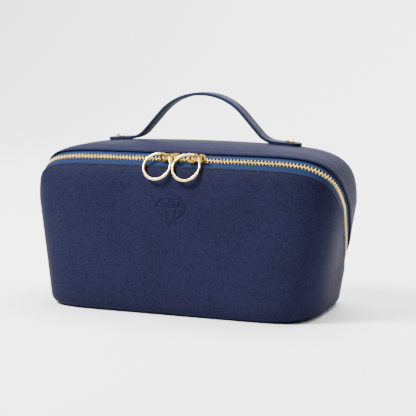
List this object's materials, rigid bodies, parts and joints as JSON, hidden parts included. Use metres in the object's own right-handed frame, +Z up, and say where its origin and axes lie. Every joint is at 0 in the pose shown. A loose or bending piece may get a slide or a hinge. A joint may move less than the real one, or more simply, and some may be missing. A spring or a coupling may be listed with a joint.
{
  "type": "jewellery case",
  "caption": "Zip-round leather jewellery case that opens on a slanting line, with a top carry strap, twin zip sliders and round ring pulls.",
  "frame": {"origin": "centre of the flat underside", "axes": "+X along the case to the right as seen from the front, -Y out of the front panel, +Z up"},
  "size_m": [0.252, 0.116, 0.1675],
  "materials": {
    "case_leather": "pebbled, semi-matt",
    "strap_leather": "pebbled, semi-matt",
    "strap_underside": "smooth, matt",
    "fold_leather": "smooth, matt",
    "stiff_board": "raw dense board",
    "lining_suede": "brushed suede cloth",
    "roll_velvet": "short pile",
    "zip_tape": "woven tape",
    "zip_metal": "polished plated teeth",
    "slider_metal": "polished plate",
    "ring_metal": "polished wire",
    "screw_metal": "domed, polished",
    "nut_metal": "plain turned"
  },
  "bodies": {
    "base": {"base_leather": "case_leather", "front_leather": "case_leather", "base_board": "stiff_board", "front_board": "stiff_board", "front_lining": "lining_suede", "front_zip_tape": "zip_tape", "front_zip_teeth": "zip_metal", "zip_end_stops": "zip_metal", "hinge_strip": "fold_leather", "dividers": "lining_suede", "ring_rolls": "roll_velvet"},
    "lid": {"lid_leather": "case_leather", "lid_board": "stiff_board", "lid_lining": "lining_suede", "lid_zip_tape": "zip_tape", "lid_zip_teeth": "zip_metal", "lid_pocket": "lining_suede", "handle_strap": "strap_leather", "handle_underlay": "strap_underside", "handle_screws": "screw_metal", "handle_nuts": "nut_metal"},
    "left_slider": {"slider_left": "slider_metal", "slider_left_under": "slider_metal", "slider_left_bridge": "slider_metal"},
    "left_pull": {"ring_left": "ring_metal"},
    "right_slider": {"slider_right": "slider_metal", "slider_right_under": "slider_metal", "slider_right_bridge": "slider_metal"},
    "right_pull": {"ring_right": "ring_metal"}
  },
  "joints": [
    {"name": "lid_fold", "type": "hinge", "parent": "base", "child": "lid", "pos_m": [0, 0.05812, 0.009], "axis": [-1, 0, 0], "range_deg": [0, 95]},
    {"name": "left_zip_run", "type": "slide", "parent": "base", "child": "left_slider", "axis": [-1, 0, 0], "range_m": [0, 0.053]},
    {"name": "right_zip_run", "type": "slide", "parent": "base", "child": "right_slider", "axis": [1, 0, 0], "range_m": [0, 0.041]},
    {"name": "left_pull_swing", "type": "hinge", "parent": "left_slider", "child": "left_pull", "pos_m": [-0.006, -0.04193, 0.12074], "axis": [-0.7431, 0.3511, 0.5696], "range_deg": [0, 90]},
    {"name": "right_pull_swing", "type": "hinge", "parent": "right_slider", "child": "right_pull", "pos_m": [0.018, -0.04193, 0.12074], "axis": [-0.7431, 0.3511, 0.5696], "range_deg": [0, 90]}
  ]
}
